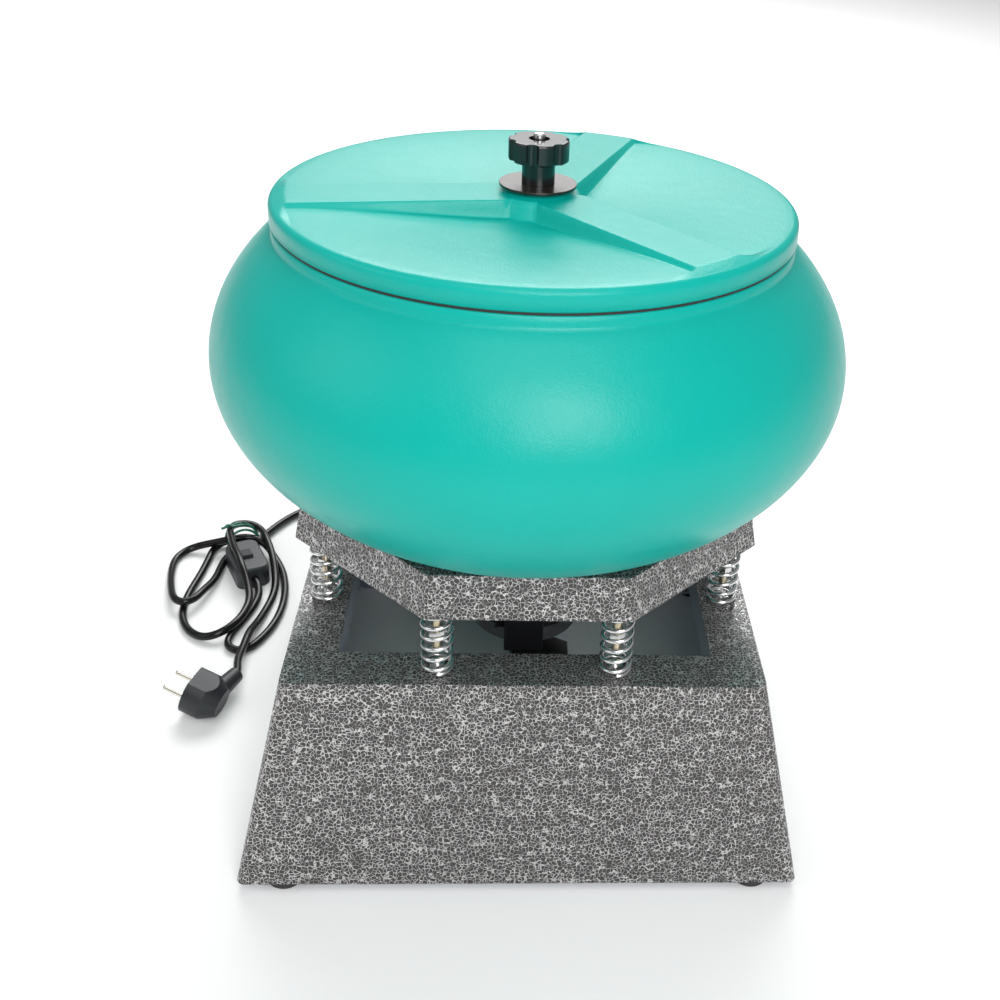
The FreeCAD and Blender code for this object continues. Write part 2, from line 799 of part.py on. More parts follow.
def make_lower_end_bell():
    """Cast lower cover with the lower bearing's seat and cooling slots."""
    bell = cylinder(motor_outer_radius, lower_bell_bottom, shell_bottom)
    bell = bell.cut(cylinder(bearing_outer_radius, lower_bell_bottom - 1, lower_bell_bottom + bearing_width))
    bell = bell.cut(cylinder(shaft_radius + 1, lower_bell_bottom - 1, shell_bottom + 1))
    slot_circle = (bearing_outer_radius + motor_outer_radius) / 2 + 2
    for i in range(6):
        angle = math.radians(30 + 60 * i)
        x = slot_circle * math.cos(angle)
        y = slot_circle * math.sin(angle)
        bell = bell.cut(cylinder(4.5, lower_bell_bottom - 1, shell_bottom + 1, x, y))
    return bell


def core_ends():
    """Heights of the stator core's lower and upper faces."""
    return shell_middle - core_length / 2, shell_middle + core_length / 2


def make_stator_core():
    """Stack of laminations, slotted round its bore."""
    low, high = core_ends()
    core = ring(motor_outer_radius - motor_shell - core_clearance, core_bore_radius, low, high)
    for i in range(12):
        slot = block(core_bore_radius - 2, -2, low - 1, core_bore_radius + 7, 2, high + 1)
        core = core.cut(turned_about_z(slot, 30 * i))
    return core


def make_motor_windings():
    """Wound end turns above and below the core."""
    low, high = core_ends()
    upper = ring(winding_outer_radius, winding_inner_radius, high, high + winding_height)
    lower = ring(winding_outer_radius, winding_inner_radius, low - winding_height, low)
    return group([upper, lower])


def make_motor_bearings():
    """Ball bearings, drawn as plain rings with the shaft's running clearance."""
    inner = shaft_radius + running_clearance
    upper = ring(bearing_outer_radius, inner, bell_top - bearing_width, bell_top)
    lower = ring(bearing_outer_radius, inner, lower_bell_bottom, lower_bell_bottom + bearing_width)
    return group([upper, lower])


def make_rotor_core():
    """Rotor body on the shaft, with end rings."""
    low, high = core_ends()
    return ring(core_bore_radius - air_gap, shaft_radius, low, high)


def make_motor_shaft():
    """Plain shaft through both end covers."""
    return cylinder(shaft_radius, shaft_bottom, shaft_top)


def weight_solid(radius, low, high):
    """Eccentric weight: a hub with a broad wedge to one side, squared off at its end."""
    spread = math.radians(weight_half_angle)
    reach = radius * math.cos(spread / 2)
    half_tip = radius * math.sin(spread / 2)
    outline = [(0, -weight_hub_radius), (reach * 0.55, -radius * math.sin(spread)), (reach, -half_tip)]
    outline += [(reach, half_tip), (reach * 0.55, radius * math.sin(spread)), (0, weight_hub_radius)]
    wedge = prism(outline, low, high)
    solid = wedge.fuse(cylinder(weight_hub_radius, low, high))
    solid = solid.cut(cylinder(shaft_radius, low - 1, high + 1))
    bore = Part.makeCylinder(set_screw_radius, radius, Vector(0, 0, (low + high) / 2), Vector(-1, 0, 0))
    return turned_about_z(solid.cut(bore), weight_direction)


def weight_heights():
    """Lower and upper faces of the lower and the upper weight."""
    lower = (shaft_bottom + weight_end_gap, shaft_bottom + weight_end_gap + weight_thickness)
    upper = (shaft_top - weight_end_gap - weight_thickness, shaft_top - weight_end_gap)
    return lower, upper


def make_weight_set_screws():
    """Grub screws that lock the weights to the shaft."""
    screws = []
    for low, high in weight_heights():
        start = Vector(-shaft_radius, 0, (low + high) / 2)
        screw = Part.makeCylinder(set_screw_radius, weight_hub_radius - shaft_radius, start, Vector(-1, 0, 0))
        screws.append(turned_about_z(screw, weight_direction))
    return group(screws)


def capacitor_back():
    """Y of the bracket face that the capacitor stands against."""
    return -(bell_flange_radius - 4.0)


def make_capacitor_bracket():
    """Angle of sheet steel that hangs from the motor's flange."""
    middle = capacitor_left + capacitor_width / 2
    x0, x1 = middle - bracket_width / 2, middle + bracket_width / 2
    face = capacitor_back()
    upright = block(x0, face, bell_under - capacitor_drop + 4, x1, face + bracket_sheet, bell_under)
    foot = block(x0, face, bell_under - bracket_sheet, x1, face + 9, bell_under)
    return upright.fuse(foot).cut(make_capacitor_screw())


def make_capacitor():
    """Moulded box capacitor with a fixing ear at one side."""
    face = capacitor_back()
    low = bell_under - capacitor_drop
    right = capacitor_left + capacitor_width
    body = block(capacitor_left, face - capacitor_depth, low, right, face, low + capacitor_height)
    upright = [edge for edge in body.Edges if abs(edge.BoundBox.ZLength - capacitor_height) < 0.01]
    body = body.makeFillet(2.0, upright)
    ear_low = low + 10
    ear = block(
        capacitor_left - capacitor_ear, face - 3, ear_low, capacitor_left + 3, face, ear_low + capacitor_ear_height
    )
    body = body.fuse(ear)
    return body.cut(make_capacitor_screw())


def make_capacitor_screw():
    """Screw through the capacitor into its bracket."""
    low = bell_under - capacitor_drop
    x = capacitor_left + capacitor_width / 2
    start = Vector(x, capacitor_back() + bracket_sheet + 2, low + capacitor_height - 6)
    return Part.makeCylinder(1.5, 9.0, start, Vector(0, -1, 0))


def make_terminal_box():
    """Hollow box on the back of the motor, entered by the lead from below."""
    half = terminal_box_width / 2
    near = math.sqrt(motor_outer_radius ** 2 - half ** 2)
    far = motor_outer_radius + terminal_box_depth
    high = bell_under - terminal_box_drop + 20
    low = high - terminal_box_height
    wall = terminal_box_wall
    box = block(-half, near, low, half, far, high)
    box = box.cut(block(-half + wall, motor_outer_radius + wall, low + wall, half - wall, far - wall, high - wall))
    box = box.cut(cylinder(motor_outer_radius, low - 1, high + 1))
    return box.cut(cylinder(cord_radius + 1, low - 1, low + wall + 1, 0, lead_entry_y()))


def lead_entry_y():
    """Y of the middle of the terminal box."""
    return motor_outer_radius + (terminal_box_depth + terminal_box_wall) / 2


# ---- gland, cord and what is on it ----------------------------------------------------------------

def make_gland_body():
    """Threaded gland with a hexagon outside the wall."""
    bore = cord_radius + gland_bore_clearance
    body = hexagon(gland_hex_flats, 0, gland_hex_height)
    body = body.fuse(cylinder(gland_thread_radius, -gland_inner_length, gland_hex_height))
    body = body.cut(cylinder(bore, -gland_inner_length - 1, gland_hex_height + 1))
    place, direction = gland_frame()
    return along(direction, place, body)


def make_gland_cap():
    """Cap that grips the cord, with a tapered strain relief in one piece with it."""
    low = gland_hex_height
    high = low + gland_cap_length
    shoulder = low + gland_cap_grip
    cap = cylinder(gland_cap_radius, low, shoulder)
    top = [edge for edge in cap.Edges if edge.Closed and abs(edge.BoundBox.ZMin - shoulder) < 0.01]
    cap = cap.makeFillet(1.5, top)
    relief = Part.makeCone(gland_relief_radius, gland_relief_end_radius, high - shoulder, Vector(0, 0, shoulder))
    cap = cap.fuse(relief)
    cap = cap.cut(cylinder(cord_radius + gland_bore_clearance, low - 1, high + 1))
    place, direction = gland_frame()
    return along(direction, place, cap)


def make_gland_locknut():
    """Nut on the gland's thread inside the wall."""
    top = -base_sheet
    body = hexagon(gland_hex_flats - 2, top - gland_nut_height, top)
    body = body.cut(cylinder(gland_thread_radius, top - gland_nut_height - 1, top + 1))
    place, direction = gland_frame()
    return along(direction, place, body)


def gland_exit(distance):
    """Point on the gland's axis, a distance outside the wall."""
    place, direction = gland_frame()
    return tuple(p + distance * d for p, d in zip(place, direction))


def lead_route():
    """Route of the lead inside the base: from the gland, low past the motor, and up into its terminal box."""
    entry = lead_entry_y()
    middle = gland_exit(lead_gland_middle)
    return [
        cord_start,
        (middle[0] + lead_gland_slack, middle[1], middle[2]),
        gland_exit(lead_gland_inner),
        (-67, 141, 35),
        (-54, 116, 30),
        (-34, 93, 32),
        (-14, 73, 44),
        (-1, entry + 6, 66),
        (0, entry, 92),
        (0, entry + 0.5, 118),
        (0, entry, 142),
    ]


# Distances from the wall along the gland where the lead's route has points, and its slack in the bore there.
lead_gland_middle = 4.0
lead_gland_inner = -22.0
lead_gland_slack = 0.1
# Free cord, from the gland to the tie: down to the surface, round behind the base, and out at its left.
cord_start = gland_exit(gland_hex_height + gland_cap_length)
cord_floor = cord_radius + 0.1
cord_run_in = [
    cord_start,
    gland_exit(gland_hex_height + gland_cap_length + 22),
    (-74, 260, 51),
    (-84, 279, 35),
    (-100, 296, 18),
    (-123, 312, 6.5),
    (-152, 323, cord_floor),
    (-183, 327, cord_floor),
    (-210, 319, cord_floor),
    (-232, 301, 4.0),
    (-246, 278, 6.0),
    (-257.5, 253.5, 10.0),
]
# Outline of the tied hank on the surface, and the short tail from it to the plug.
hank_outline = [
    (-262, 228),
    (-240, 226),
    (-222, 196),
    (-214, 160),
    (-215, 122),
    (-224, 88),
    (-238, 69),
    (-254, 69),
    (-262, 84),
    (-284, 79),
    (-304, 91),
    (-314, 118),
    (-330, 154),
    (-340, 190),
    (-339, 220),
    (-322, 236),
    (-300, 232),
    (-288, 224),
]
cord_tail = [
    (-238.8, 69.0, 10.0),
    (-240.4, 56.2, 12.4),
    (-240.2, 43.4, 13.8),
    (-237.6, 30.5, 14.6),
]
knot_centre = (-271.0, 239.0)
knot_turn = 115.0
switch_centre = (-261.5, 197.0)
switch_turn = 115.0
plug_face = (-268.6, -1.2)
plug_middle_height = 14.8
plug_turn = 163.0
plug_tilt = 18.0
relief_turn = 66.0


def make_cord_hank():
    """Outer shape of the tied loops: a low pad with a higher knot at its far end, cleared for the switch."""
    pad = prism(hank_outline, hank_floor_gap, hank_floor_gap + hank_height)
    half_l = knot_length / 2
    half_w = knot_width / 2
    knot = block(-half_l, -half_w, knot_low, half_l, half_w, knot_low + knot_height)
    hank = pad.fuse(turned_about_z(knot, knot_turn, *knot_centre)).removeSplitter()
    room_l = switch_length / 2 + 1
    room_w = switch_width / 2 + 1
    room = block(-room_l, -room_w, -1, room_l, room_w, knot_height + 5)
    return hank.cut(turned_about_z(room, switch_turn, *switch_centre))


def make_twist_tie():
    """Plastic-covered wire passed round the knot and twisted to a short tail on top."""
    half_w = knot_width / 2 + tie_gap + tie_wire_radius
    low = knot_low - tie_gap - tie_wire_radius
    high = knot_low + knot_height + tie_gap + tie_wire_radius
    corner = tie_corner
    spots = [(-half_w, low), (half_w, low), (half_w, high), (-half_w, high)]
    edges = []
    for i, (y, z) in enumerate(spots):
        y_next, z_next = spots[(i + 1) % 4]
        span = math.hypot(y_next - y, z_next - z)
        step_y, step_z = (y_next - y) / span, (z_next - z) / span
        begin = Vector(0, y + step_y * corner, z + step_z * corner)
        end = Vector(0, y_next - step_y * corner, z_next - step_z * corner)
        edges.append(Part.makeLine(begin, end))
        y_after, z_after = spots[(i + 2) % 4]
        reach = math.hypot(y_after - y_next, z_after - z_next)
        leave_y, leave_z = (y_after - y_next) / reach, (z_after - z_next) / reach
        out = Vector(0, y_next + leave_y * corner, z_next + leave_z * corner)
        inset = corner * (1 - math.cos(math.pi / 4))
        bend_y = y_next - step_y * inset + leave_y * inset
        bend_z = z_next - step_z * inset + leave_z * inset
        edges.append(Part.Arc(end, Vector(0, bend_y, bend_z), out).toShape())
    path = Part.Wire(edges)
    first = path.Edges[0].Vertexes[0].Point
    section = Part.Wire(Part.makeCircle(tie_wire_radius, first, Vector(0, 1, 0)))
    loop = path.makePipeShell([section], True, False)
    tail = Part.makeCylinder(tie_wire_radius, 16, Vector(0, 0, high), Vector(0.9, 0.1, 0.35))
    return turned_about_z(loop.fuse(tail), knot_turn, *knot_centre)


def make_switch_body():
    """In-line switch housing with rounded ends and a well for the rocker."""
    half_l, half_w = switch_length / 2, switch_width / 2
    body = block(-half_l, -half_w, 0, half_l, half_w, switch_height)
    upright = [edge for edge in body.Edges if abs(edge.BoundBox.ZLength - switch_height) < 0.01]
    body = body.makeFillet(switch_corner, upright)
    top = [edge for edge in body.Edges if edge.BoundBox.ZMin > switch_height - 0.01]
    body = body.makeFillet(3.0, top)
    room_l = rocker_length / 2 + rocker_clearance
    room_w = rocker_width / 2 + rocker_clearance
    well_low = switch_height - rocker_well_depth
    body = body.cut(block(-room_l, -room_w, well_low, room_l, room_w, switch_height + 1))
    body = body.cut(rocker_pin(rocker_pin_radius + rocker_pin_clearance, rocker_pin_length + 2 * rocker_pin_clearance))
    return turned_about_z(body, switch_turn, *switch_centre)


def rocker_pin(radius, length):
    """Cylinder across the switch on the rocker's pivot line, before the switch is turned and placed."""
    start = Vector(0, -length / 2, switch_height - rocker_pivot_depth)
    return Part.makeCylinder(radius, length, start, Vector(0, 1, 0))


def make_switch_rocker():
    """Rocker key with a pivot pin, tipped to its off side at rest, with room to tip the other way in its well."""
    pivot = switch_height - rocker_pivot_depth
    half_l = rocker_length / 2 - rocker_clearance
    half_w = rocker_width / 2
    key = block(-half_l, -half_w, pivot - rocker_below_pivot, half_l, half_w, switch_height + rocker_rise)
    key.rotate(Vector(0, 0, pivot), Vector(0, 1, 0), rocker_tip)
    key = key.fuse(rocker_pin(rocker_pin_radius, rocker_pin_length))
    return turned_about_z(key, switch_turn, *switch_centre)


def plug_direction(degrees):
    """Unit vector in the plane of the surface."""
    return Vector(math.cos(math.radians(degrees)), math.sin(math.radians(degrees)), 0)


def plug_centre(depth):
    """Point behind the plug's face, on its axis."""
    middle = Vector(plug_face[0], plug_face[1], plug_middle_height)
    return middle - plug_direction(plug_turn) * depth


def relief_end():
    """Point where the cord comes out of the plug's strain relief."""
    return plug_centre(plug_relief_depth) + plug_direction(relief_turn) * relief_length


def tilted(shape):
    """Turns a piece of the plug about its strain relief, so that the pins point a little upwards."""
    moved = shape.copy()
    moved.rotate(plug_centre(plug_relief_depth), plug_direction(relief_turn), plug_tilt)
    return moved


def make_plug_body():
    """Moulded angled plug lying on its side: a round face with two flats, a tapering back and a strain relief."""
    backwards = plug_direction(plug_turn) * -1
    taper = plug_body_depth - 16
    shoulder = plug_centre(plug_body_depth - taper)
    front = Part.makeCylinder(plug_face_radius, plug_body_depth - taper, plug_centre(0), backwards)
    back = Part.makeCone(plug_face_radius, plug_back_radius, taper, shoulder, backwards)
    reach = 2 * plug_face_radius
    slab = block(-reach, -reach, -plug_flat_half, reach, reach, plug_flat_half)
    slab.translate(plug_centre(plug_body_depth / 2))
    arm = Part.makeCone(9.0, relief_radius, relief_length, plug_centre(plug_relief_depth), plug_direction(relief_turn))
    body = front.fuse(back).common(slab).fuse(arm)
    for sign in (-1, 1):
        body = body.cut(earth_strip(sign))
    return tilted(body)


def earth_strip(sign):
    """Flat contact let into one of the plug's flats, before the tilt."""
    strip = block(
        -earth_strip_length / 2,
        -earth_strip_width / 2,
        -earth_strip_thickness,
        earth_strip_length / 2,
        earth_strip_width / 2,
        0,
    )
    strip.rotate(Vector(0, 0, 0), Vector(1, 0, 0), 0 if sign > 0 else 180)
    strip.rotate(Vector(0, 0, 0), UP, plug_turn)
    strip.translate(plug_centre(earth_strip_length / 2) + Vector(0, 0, sign * plug_flat_half))
    return strip


def make_plug_pins():
    """Two round pins, side by side over the surface."""
    ahead = plug_direction(plug_turn)
    across = plug_direction(plug_turn + 90)
    pins = []
    for sign in (-1, 1):
        foot = plug_centre(0) + across * (sign * pin_spacing / 2)
        pin = Part.makeCylinder(pin_radius, pin_length, foot, ahead)
        tip = [edge for edge in pin.Edges if edge.Closed and edge.CenterOfMass.distanceToPoint(foot) > pin_length / 2]
        pins.append(tilted(pin.makeFillet(1.6, tip)))
    return group(pins)


def make_plug_earth_contacts():
    """Two flat earth contacts in the plug's flats."""
    return group([tilted(earth_strip(sign)) for sign in (-1, 1)])


def main():
    """Builds and writes every sub-part."""
    os.makedirs("parts", exist_ok=True)
    save("base_housing", make_base_housing())
    save("base_feet", make_feet())
    save("foot_screws", make_foot_screws())
    save("foot_nuts", make_foot_nuts())
    save("lower_spring_bolts", make_lower_spring_bolts())
    save("lower_spring_nuts", make_lower_spring_nuts())
    coil = make_spring_coil()
    save("springs_front", make_springs(coil, 0))
    save("springs_right", make_springs(coil, 90))
    save("springs_back", make_springs(coil, 180))
    save("springs_left", make_springs(coil, 270))
    save("upper_spring_studs", make_upper_spring_studs())
    save("upper_spring_nuts", make_upper_spring_nuts())
    save("platform", make_platform())
    save("centre_stud", make_centre_stud())
    save("stud_nuts", make_stud_nuts())
    save("bowl", make_bowl())
    save("bowl_washer", make_bowl_washer())
    save("bowl_nut", make_bowl_nut())
    save("lid", make_lid())
    save("lid_gasket", make_lid_gasket())
    save("clamp_disc", make_clamp_disc())
    save("knob", make_knob())
    save("knob_insert", make_knob_insert())
    save("motor_spacers", make_motor_spacers())
    save("motor_bolts", make_motor_bolts())
    save("motor_nuts", make_motor_nuts())
    save("upper_end_bell", make_upper_end_bell())
    save("motor_housing", make_motor_housing())
    save("lower_end_bell", make_lower_end_bell())
    save("stator_core", make_stator_core())
    save("motor_windings", make_motor_windings())
    save("motor_bearings", make_motor_bearings())
    save("rotor_core", make_rotor_core())
    save("motor_shaft", make_motor_shaft())
    lower, upper = weight_heights()
    save("lower_weight", weight_solid(lower_weight_radius, *lower))
    save("upper_weight", weight_solid(upper_weight_radius, *upper))
    save("weight_set_screws", make_weight_set_screws())
    save("capacitor", make_capacitor())
    save("capacitor_bracket", make_capacitor_bracket())
    save("capacitor_screw", make_capacitor_screw())
    save("terminal_box", make_terminal_box())
    save("gland_body", make_gland_body())
    save("gland_cap", make_gland_cap())
    save("gland_locknut", make_gland_locknut())
    save("internal_lead", tube("internal_lead", lead_route(), cord_radius))
    save("cord_run_in", tube("cord_run_in", cord_run_in, cord_radius))
    save("cord_hank", make_cord_hank())
    save("cord_tail", tube("cord_tail", cord_tail, cord_radius))
    save("twist_tie", make_twist_tie())
    save("switch_body", make_switch_body())
    save("switch_rocker", make_switch_rocker())
    save("plug_body", make_plug_body())
    save("plug_pins", make_plug_pins())
    save("plug_earth_contacts", make_plug_earth_contacts())
    end = relief_end()
    print("plug cord exit", round(end.x, 1), round(end.y, 1), round(end.z, 1))


main()
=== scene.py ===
import math

import bmesh
import bpy
from mathutils import Matrix, Vector


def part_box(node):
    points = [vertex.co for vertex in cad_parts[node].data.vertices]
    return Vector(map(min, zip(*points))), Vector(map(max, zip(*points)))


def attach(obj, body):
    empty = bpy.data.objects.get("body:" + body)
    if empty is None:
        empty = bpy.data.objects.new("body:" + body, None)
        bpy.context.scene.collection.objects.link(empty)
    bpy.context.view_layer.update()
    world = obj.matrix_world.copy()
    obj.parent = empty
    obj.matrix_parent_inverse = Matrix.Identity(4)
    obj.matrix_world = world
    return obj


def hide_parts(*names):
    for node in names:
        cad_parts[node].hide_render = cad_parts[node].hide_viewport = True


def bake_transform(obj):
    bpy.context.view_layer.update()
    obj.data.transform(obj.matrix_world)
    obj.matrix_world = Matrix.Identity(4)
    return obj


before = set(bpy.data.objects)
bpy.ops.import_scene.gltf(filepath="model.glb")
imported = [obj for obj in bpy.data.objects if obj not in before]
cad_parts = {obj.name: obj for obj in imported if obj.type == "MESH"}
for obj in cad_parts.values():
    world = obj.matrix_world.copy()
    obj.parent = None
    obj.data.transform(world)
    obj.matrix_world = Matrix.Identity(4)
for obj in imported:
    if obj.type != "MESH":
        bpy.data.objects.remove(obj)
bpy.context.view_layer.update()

# ---- camera, light and floor ---------------------------------------------------------------------
# A camera above the front of the machine, looking down at it a little from the left.
# White studio: a dim room, a key light from the front, a broad light overhead, a bright panel behind that
# shows in everything that faces up, and a floor that is almost white.

camera_place = Vector((-0.01368, -0.82753, 0.69201))
camera_heading = math.radians(5.3011)
camera_pitch = math.radians(28.2627)
camera_roll = math.radians(3.8489)
lens = bpy.data.cameras.new("camera")
lens.sensor_width = 36.0
lens.lens = 1.261093 * lens.sensor_width
lens.shift_x = -0.1142
lens.shift_y = -0.04655
lens.clip_start = 0.02
camera = bpy.data.objects.new("camera", lens)
turn = Matrix.Rotation(-camera_heading, 4, "Z") @ Matrix.Rotation(math.pi / 2 - camera_pitch, 4, "X")
camera.matrix_world = Matrix.Translation(camera_place) @ turn @ Matrix.Rotation(camera_roll, 4, "Z")
bpy.context.scene.collection.objects.link(camera)
bpy.context.scene.camera = camera
bpy.context.scene.view_settings.view_transform = "Standard"

room = bpy.data.worlds.new("room")
room.use_nodes = True
room.node_tree.nodes["Background"].inputs["Color"].default_value = (1.0, 1.0, 1.0, 1)
room.node_tree.nodes["Background"].inputs["Strength"].default_value = 0.30
bpy.context.scene.world = room


def soft_light(name, place, aim, width, power):
    """Square soft light at a place, turned to face a point."""
    panel = bpy.data.lights.new(name, "AREA")
    panel.shape = "SQUARE"
    panel.size = width
    panel.energy = power
    lamp = bpy.data.objects.new(name, panel)
    facing = (Vector(aim) - Vector(place)).to_track_quat("-Z", "Y")
    lamp.matrix_world = Matrix.Translation(place) @ facing.to_matrix().to_4x4()
    bpy.context.scene.collection.objects.link(lamp)


soft_light("light_front", (0.35, -1.9, 1.3), (0.0, 0.0, 0.25), 1.1, 27)
soft_light("light_left", (-1.7, -0.6, 1.3), (0.0, 0.0, 0.2), 1.2, 5)
soft_light("light_over", (0.1, -0.2, 2.3), (0.0, 0.0, 0.2), 1.6, 5)
soft_light("light_back", (0.1, 2.3, 1.75), (0.0, 0.0, 0.35), 1.6, 13)
soft_light("light_floor", (0.0, -1.3, 1.7), (0.0, -0.8, 0.0), 1.4, 11)
soft_light("light_backdrop", (0.0, 2.6, 2.6), (0.0, 2.4, 0.0), 2.4, 110)


class Wire:
    """An output of a material's nodes. Sums and products of wires add Math nodes."""

    def __init__(self, tree, socket=None):
        self.tree = tree
        self.socket = socket

    def node(self, kind, settings=None, sockets=None, output=0):
        """Adds a node: its settings first, then the values or wires of its sockets."""
        made = self.tree.nodes.new("ShaderNode" + kind)
        for name, value in (settings or {}).items():
            if name == "stops":
                while len(made.color_ramp.elements) < len(value):
                    made.color_ramp.elements.new(0.5)
                for element, (place, shade) in zip(made.color_ramp.elements, value):
                    element.position = place
                    element.color = (shade, shade, shade, 1) if isinstance(shade, float) else (*shade, 1)
            else:
                setattr(made, name, value)
        for name, value in (sockets or {}).items():
            if isinstance(value, Wire):
                self.tree.links.new(value.socket, made.inputs[name])
            else:
                made.inputs[name].default_value = value
        return Wire(self.tree, made.outputs[output])

    def maths(self, operation, first, second):
        return self.node("Math", {"operation": operation}, {0: first, 1: second})

    def __add__(self, other):
        return self.maths("ADD", self, other)

    def __radd__(self, other):
        return self.maths("ADD", other, self)

    def __sub__(self, other):
        return self.maths("SUBTRACT", self, other)

    def __rsub__(self, other):
        return self.maths("SUBTRACT", other, self)

    def __mul__(self, other):
        return self.maths("MULTIPLY", self, other)

    def __rmul__(self, other):
        return self.maths("MULTIPLY", other, self)

    def mix(self, dark, light):
        """A colour between two, by this wire."""
        def colour(value):
            return value if isinstance(value, Wire) else (*value, 1)
        return self.node("Mix", {"data_type": "RGBA"}, {0: self, 6: colour(dark), 7: colour(light)}, 2)

    def clear(self, low, high):
        """This wire, stretched so that low becomes 0 and high becomes 1."""
        return self.node("MapRange", {"interpolation_type": "SMOOTHSTEP"}, {0: self, 1: low, 2: high})


def new_finish(name, **constants):
    """Material with its constant values set, its nodes' start, and a call that links the varying sockets."""
    finish = bpy.data.materials.new(name)
    finish.use_nodes = True
    tree = finish.node_tree
    surface = tree.nodes["Principled BSDF"]
    for socket, value in constants.items():
        surface.inputs[socket.replace("_", " ")].default_value = value
    start = Wire(tree)
    place = start.node("TexCoord", output=3)

    def link(wires, bumps=()):
        for socket, wire in wires.items():
            tree.links.new(wire.socket, surface.inputs[socket])
        below = None
        for height, depth in bumps:
            sockets = {"Height": height, "Distance": depth, "Strength": 1.0}
            if below is not None:
                sockets["Normal"] = below
            below = start.node("Bump", sockets=sockets)
        if below is not None:
            tree.links.new(below.socket, surface.inputs["Normal"])

    return finish, start, place, link


def put_on(finish, *nodes):
    """Gives CAD nodes a finish."""
    for name in nodes:
        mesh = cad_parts[name].data
        mesh.materials.clear()
        mesh.materials.append(finish)


floor_mesh = bmesh.new()
bmesh.ops.create_grid(floor_mesh, x_segments=1, y_segments=1, size=6.0)
floor_data = bpy.data.meshes.new("floor")
floor_mesh.to_mesh(floor_data)
floor_mesh.free()
floor = bpy.data.objects.new("floor", floor_data)
bpy.context.scene.collection.objects.link(floor)
floor_finish, start, place, link = new_finish("floor_paper", Roughness=0.95)
grain = start.node("TexNoise", sockets={"Vector": place, "Scale": 3.0})
link({"Base Color": grain.mix((0.86, 0.86, 0.86), (0.9, 0.9, 0.9))})
floor_data.materials.append(floor_finish)


# ---- mains cord -----------------------------------------------------------------------------------
# Round black PVC cord, 7 mm thick. It leaves the gland behind the base, drops to the surface, and comes
# out at the left, where it is folded in loose loops, passes through its switch, and ends in the plug.

cord_diameter = 0.007
cord_route = [
    # out of the gland, down, and round behind the base to the knot; then the upper left loop; back through
    # the knot and down the right loop to its hook; up into the switch and out; the large loop at the lower
    # left, up over the switch and the knot; and down to the plug
    (-0.0700, 0.2162, 0.0514), (-0.0700, 0.2377, 0.0562), (-0.0740, 0.2600, 0.0510),
    (-0.0840, 0.2790, 0.0350), (-0.1000, 0.2960, 0.0180), (-0.1230, 0.3120, 0.0065),
    (-0.1520, 0.3230, 0.0036), (-0.1830, 0.3270, 0.0036), (-0.2100, 0.3190, 0.0036),
    (-0.2320, 0.3010, 0.0040), (-0.2460, 0.2780, 0.0050), (-0.2575, 0.2550, 0.0045),
    (-0.2680, 0.2400, 0.0036), (-0.2790, 0.2260, 0.0036), (-0.2855, 0.2185, 0.0036),
    (-0.2875, 0.2040, 0.0038), (-0.2870, 0.1740, 0.0070), (-0.2930, 0.1500, 0.0108),
    (-0.2970, 0.1375, 0.0110), (-0.3060, 0.1310, 0.0110), (-0.3160, 0.1370, 0.0110),
    (-0.3235, 0.1580, 0.0085), (-0.3310, 0.1875, 0.0045), (-0.3336, 0.2130, 0.0036),
    (-0.3270, 0.2275, 0.0040), (-0.3152, 0.2321, 0.0070), (-0.2990, 0.2315, 0.0115),
    (-0.2828, 0.2315, 0.0160), (-0.2660, 0.2380, 0.0150), (-0.2520, 0.2330, 0.0110),
    (-0.2419, 0.2190, 0.0075), (-0.2277, 0.1936, 0.0045), (-0.2206, 0.1641, 0.0036),
    (-0.2189, 0.1357, 0.0036), (-0.2223, 0.1085, 0.0036), (-0.2305, 0.0860, 0.0036),
    (-0.2375, 0.0745, 0.0036), (-0.2480, 0.0710, 0.0036), (-0.2570, 0.0785, 0.0036),
    (-0.2575, 0.0930, 0.0036), (-0.2525, 0.1090, 0.0036), (-0.2468, 0.1285, 0.0036),
    (-0.2423, 0.1500, 0.0055), (-0.2455, 0.1640, 0.0090), (-0.2505, 0.1730, 0.0105),
    (-0.2570, 0.1880, 0.0105), (-0.2660, 0.2070, 0.0105), (-0.2729, 0.2215, 0.0105),
    (-0.2780, 0.2330, 0.0098), (-0.2850, 0.2420, 0.0076), (-0.2950, 0.2420, 0.0050),
    (-0.3015, 0.2300, 0.0038), (-0.3020, 0.2090, 0.0036), (-0.3040, 0.1840, 0.0036),
    (-0.3070, 0.1600, 0.0036), (-0.3077, 0.1387, 0.0036), (-0.3044, 0.1168, 0.0036),
    (-0.2947, 0.0985, 0.0036), (-0.2805, 0.0880, 0.0045), (-0.2670, 0.0880, 0.0080),
    (-0.2560, 0.0970, 0.0108), (-0.2495, 0.1135, 0.0110), (-0.2472, 0.1368, 0.0120),
    (-0.2540, 0.1580, 0.0175), (-0.2620, 0.1760, 0.0243), (-0.2683, 0.1910, 0.0250),
    (-0.2755, 0.2060, 0.0248), (-0.2818, 0.2260, 0.0244), (-0.2860, 0.2405, 0.0228),
    (-0.2805, 0.2530, 0.0205), (-0.2675, 0.2560, 0.0185), (-0.2560, 0.2460, 0.0175),
    (-0.2490, 0.2310, 0.0175), (-0.2398, 0.2087, 0.0135), (-0.2325, 0.1815, 0.0060),
    (-0.2301, 0.1582, 0.0037), (-0.2330, 0.1328, 0.0036), (-0.2368, 0.1084, 0.0055),
    (-0.2394, 0.0890, 0.0108), (-0.2399, 0.0700, 0.0115), (-0.2404, 0.0562, 0.0124),
    (-0.2402, 0.0434, 0.0138), (-0.2376, 0.0305, 0.0146), (-0.2376, 0.0262, 0.0148),
]
cord_curve = bpy.data.curves.new("mains_cord", "CURVE")
cord_curve.dimensions = "3D"
cord_line = cord_curve.splines.new("NURBS")
